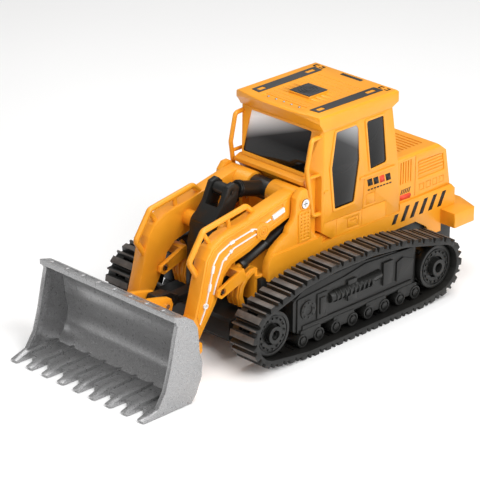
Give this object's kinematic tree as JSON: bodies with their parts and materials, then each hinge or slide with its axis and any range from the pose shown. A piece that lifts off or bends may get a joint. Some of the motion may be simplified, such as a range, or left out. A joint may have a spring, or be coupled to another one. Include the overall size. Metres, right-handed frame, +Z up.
{
  "type": "toy tracked loader",
  "caption": "Toy crawler loader: closed cab, rear engine hood, ribbed tracks, and a toothed front bucket on lifting arms with rocker, link and dummy rams.",
  "frame": {"origin": "on the ground, at the centre of the footprint rectangle", "axes": "+X forward towards the bucket, +Y to the machine's left, +Z up"},
  "size_m": [0.315, 0.1332, 0.1432],
  "materials": {
    "yellow_plastic": "satin moulded plastic",
    "black_plastic": "matt moulded plastic",
    "track_plastic": "matt, slightly brown on the shoe faces",
    "bucket_plastic": "metallic dark grey plastic with fine flakes",
    "dark_glazing": "polished opaque black panels",
    "grey_trim": "printed dark grey",
    "white_trim": "painted relief lines",
    "steel": "plain",
    "screw_steel": "bright zinc",
    "battery_wrap": "shrink wrap",
    "board": "solder mask",
    "motor_case": "drawn can",
    "speaker_cone": "pressed"
  },
  "bodies": {
    "chassis": {"arm_pivot_pin": "steel", "base_screws": "screw_steel", "battery_cover": "black_plastic", "battery_pack": "battery_wrap", "bottom_plate": "black_plastic", "cab_shell": "yellow_plastic", "circuit_board": "board", "counterweight": "yellow_plastic", "door_window_left": "dark_glazing", "door_window_right": "dark_glazing", "drive_motor_left": "motor_case", "drive_motor_right": "motor_case", "engine_hood": "yellow_plastic", "front_axle": "steel", "handrail_left": "yellow_plastic", "handrail_right": "yellow_plastic", "lift_base_pins": "steel", "lift_motor": "motor_case", "lower_hull": "black_plastic", "pivot_screws": "screw_steel", "quarter_window_left": "dark_glazing", "quarter_window_right": "dark_glazing", "rear_window": "dark_glazing", "roof_panel": "yellow_plastic", "roof_strip_left": "grey_trim", "roof_strip_right": "grey_trim", "roof_vent": "grey_trim", "speaker": "speaker_cone", "track_frame_left": "black_plastic", "track_frame_right": "black_plastic", "track_left": "track_plastic", "track_right": "track_plastic", "upper_body": "yellow_plastic", "windshield": "dark_glazing"},
    "lift_arms": {"lift_arm_left": "yellow_plastic", "lift_arm_right": "yellow_plastic", "arm_cross_tube": "yellow_plastic", "hose_trim_left": "white_trim", "hose_trim_right": "white_trim", "lift_pins": "steel"},
    "rocker": {"rocker": "black_plastic", "rocker_pin": "steel"},
    "link": {"bucket_link": "black_plastic"},
    "bucket": {"bucket": "bucket_plastic", "bucket_bracket": "yellow_plastic", "ear_pin": "steel", "bucket_pins": "steel"},
    "tilt_barrel": {"tilt_barrel": "black_plastic"},
    "tilt_rod": {"tilt_rod": "steel"},
    "lift_barrel_left": {"lift_barrel_left": "black_plastic"},
    "lift_barrel_right": {"lift_barrel_right": "black_plastic"},
    "lift_rod_left": {"lift_rod_left": "yellow_plastic"},
    "lift_rod_right": {"lift_rod_right": "yellow_plastic"},
    "sprocket_left": {"sprocket_left": "black_plastic", "drive_shaft_left": "steel"},
    "sprocket_right": {"sprocket_right": "black_plastic", "drive_shaft_right": "steel"},
    "idler_left": {"idler_left": "black_plastic"},
    "idler_right": {"idler_right": "black_plastic"},
    "power_switch": {"power_switch": "black_plastic"}
  },
  "joints": [
    {"name": "arm_lift", "type": "hinge", "parent": "chassis", "child": "lift_arms", "pos_m": [-0.0035, 0, 0.087], "axis": [0, -1, 0], "range_deg": [0, 33]},
    {"name": "bucket_tilt", "type": "hinge", "parent": "lift_arms", "child": "bucket", "pos_m": [0.0895, 0, 0.017], "axis": [0, 1, 0], "range_deg": [-20, 24]},
    {"name": "rocker_turn", "type": "hinge", "parent": "lift_arms", "child": "rocker", "pos_m": [0.0435, 0, 0.075], "axis": [0, 1, 0], "range_deg": [-12.93, 10.86]},
    {"name": "link_turn", "type": "hinge", "parent": "rocker", "child": "link", "pos_m": [0.0505, 0, 0.035], "axis": [0, 1, 0], "range_deg": [-12.92, 15.4]},
    {"name": "tilt_barrel_turn", "type": "hinge", "parent": "lift_arms", "child": "tilt_barrel", "pos_m": [-0.0035, 0, 0.087], "axis": [0, 1, 0], "range_deg": [-1.86, 2.13]},
    {"name": "tilt_rod_slide", "type": "slide", "parent": "tilt_barrel", "child": "tilt_rod", "axis": [0.9654, 0, 0.2609], "range_m": [-0.00558, 0.00473]},
    {"name": "lift_barrel_left_turn", "type": "hinge", "parent": "chassis", "child": "lift_barrel_left", "pos_m": [-0.0075, 0.0253, 0.0745], "axis": [0, -1, 0], "range_deg": [-0.5, 32.1]},
    {"name": "lift_rod_left_slide", "type": "slide", "parent": "lift_barrel_left", "child": "lift_rod_left", "axis": [0.9407, 0, -0.3392], "range_m": [-0.0005, 0.00761]},
    {"name": "sprocket_left_spin", "type": "hinge", "parent": "chassis", "child": "sprocket_left", "pos_m": [-0.0985, 0.055, 0.023], "axis": [0, 1, 0], "continuous": true},
    {"name": "idler_left_spin", "type": "hinge", "parent": "chassis", "child": "idler_left", "pos_m": [0.0515, 0.055, 0.0248], "axis": [0, 1, 0], "continuous": true},
    {"name": "lift_barrel_right_turn", "type": "hinge", "parent": "chassis", "child": "lift_barrel_right", "pos_m": [-0.0075, -0.0253, 0.0745], "axis": [0, -1, 0], "range_deg": [-0.5, 32.1]},
    {"name": "lift_rod_right_slide", "type": "slide", "parent": "lift_barrel_right", "child": "lift_rod_right", "axis": [0.9407, 0, -0.3392], "range_m": [-0.0005, 0.00761]},
    {"name": "sprocket_right_spin", "type": "hinge", "parent": "chassis", "child": "sprocket_right", "pos_m": [-0.0985, -0.055, 0.023], "axis": [0, 1, 0], "continuous": true},
    {"name": "idler_right_spin", "type": "hinge", "parent": "chassis", "child": "idler_right", "pos_m": [0.0515, -0.055, 0.0248], "axis": [0, 1, 0], "continuous": true},
    {"name": "power_slide", "type": "slide", "parent": "chassis", "child": "power_switch", "axis": [1, 0, 0], "range_m": [0, 0.003]}
  ],
  "couplings": [
    {"joint": "rocker_turn", "follows": "bucket_tilt", "ratio": -0.518},
    {"joint": "link_turn", "follows": "bucket_tilt", "ratio": 0.621},
    {"joint": "tilt_barrel_turn", "follows": "bucket_tilt", "ratio": 0.068},
    {"joint": "tilt_rod_slide", "follows": "bucket_tilt", "m_per_rad": -0.01213},
    {"joint": "lift_barrel_left_turn", "follows": "arm_lift", "ratio": 0.9577},
    {"joint": "lift_rod_left_slide", "follows": "arm_lift", "m_per_rad": 0.01234},
    {"joint": "idler_left_spin", "follows": "sprocket_left_spin", "ratio": 1},
    {"joint": "lift_barrel_right_turn", "follows": "arm_lift", "ratio": 0.9577},
    {"joint": "lift_rod_right_slide", "follows": "arm_lift", "m_per_rad": 0.01234},
    {"joint": "idler_right_spin", "follows": "sprocket_right_spin", "ratio": 1}
  ]
}
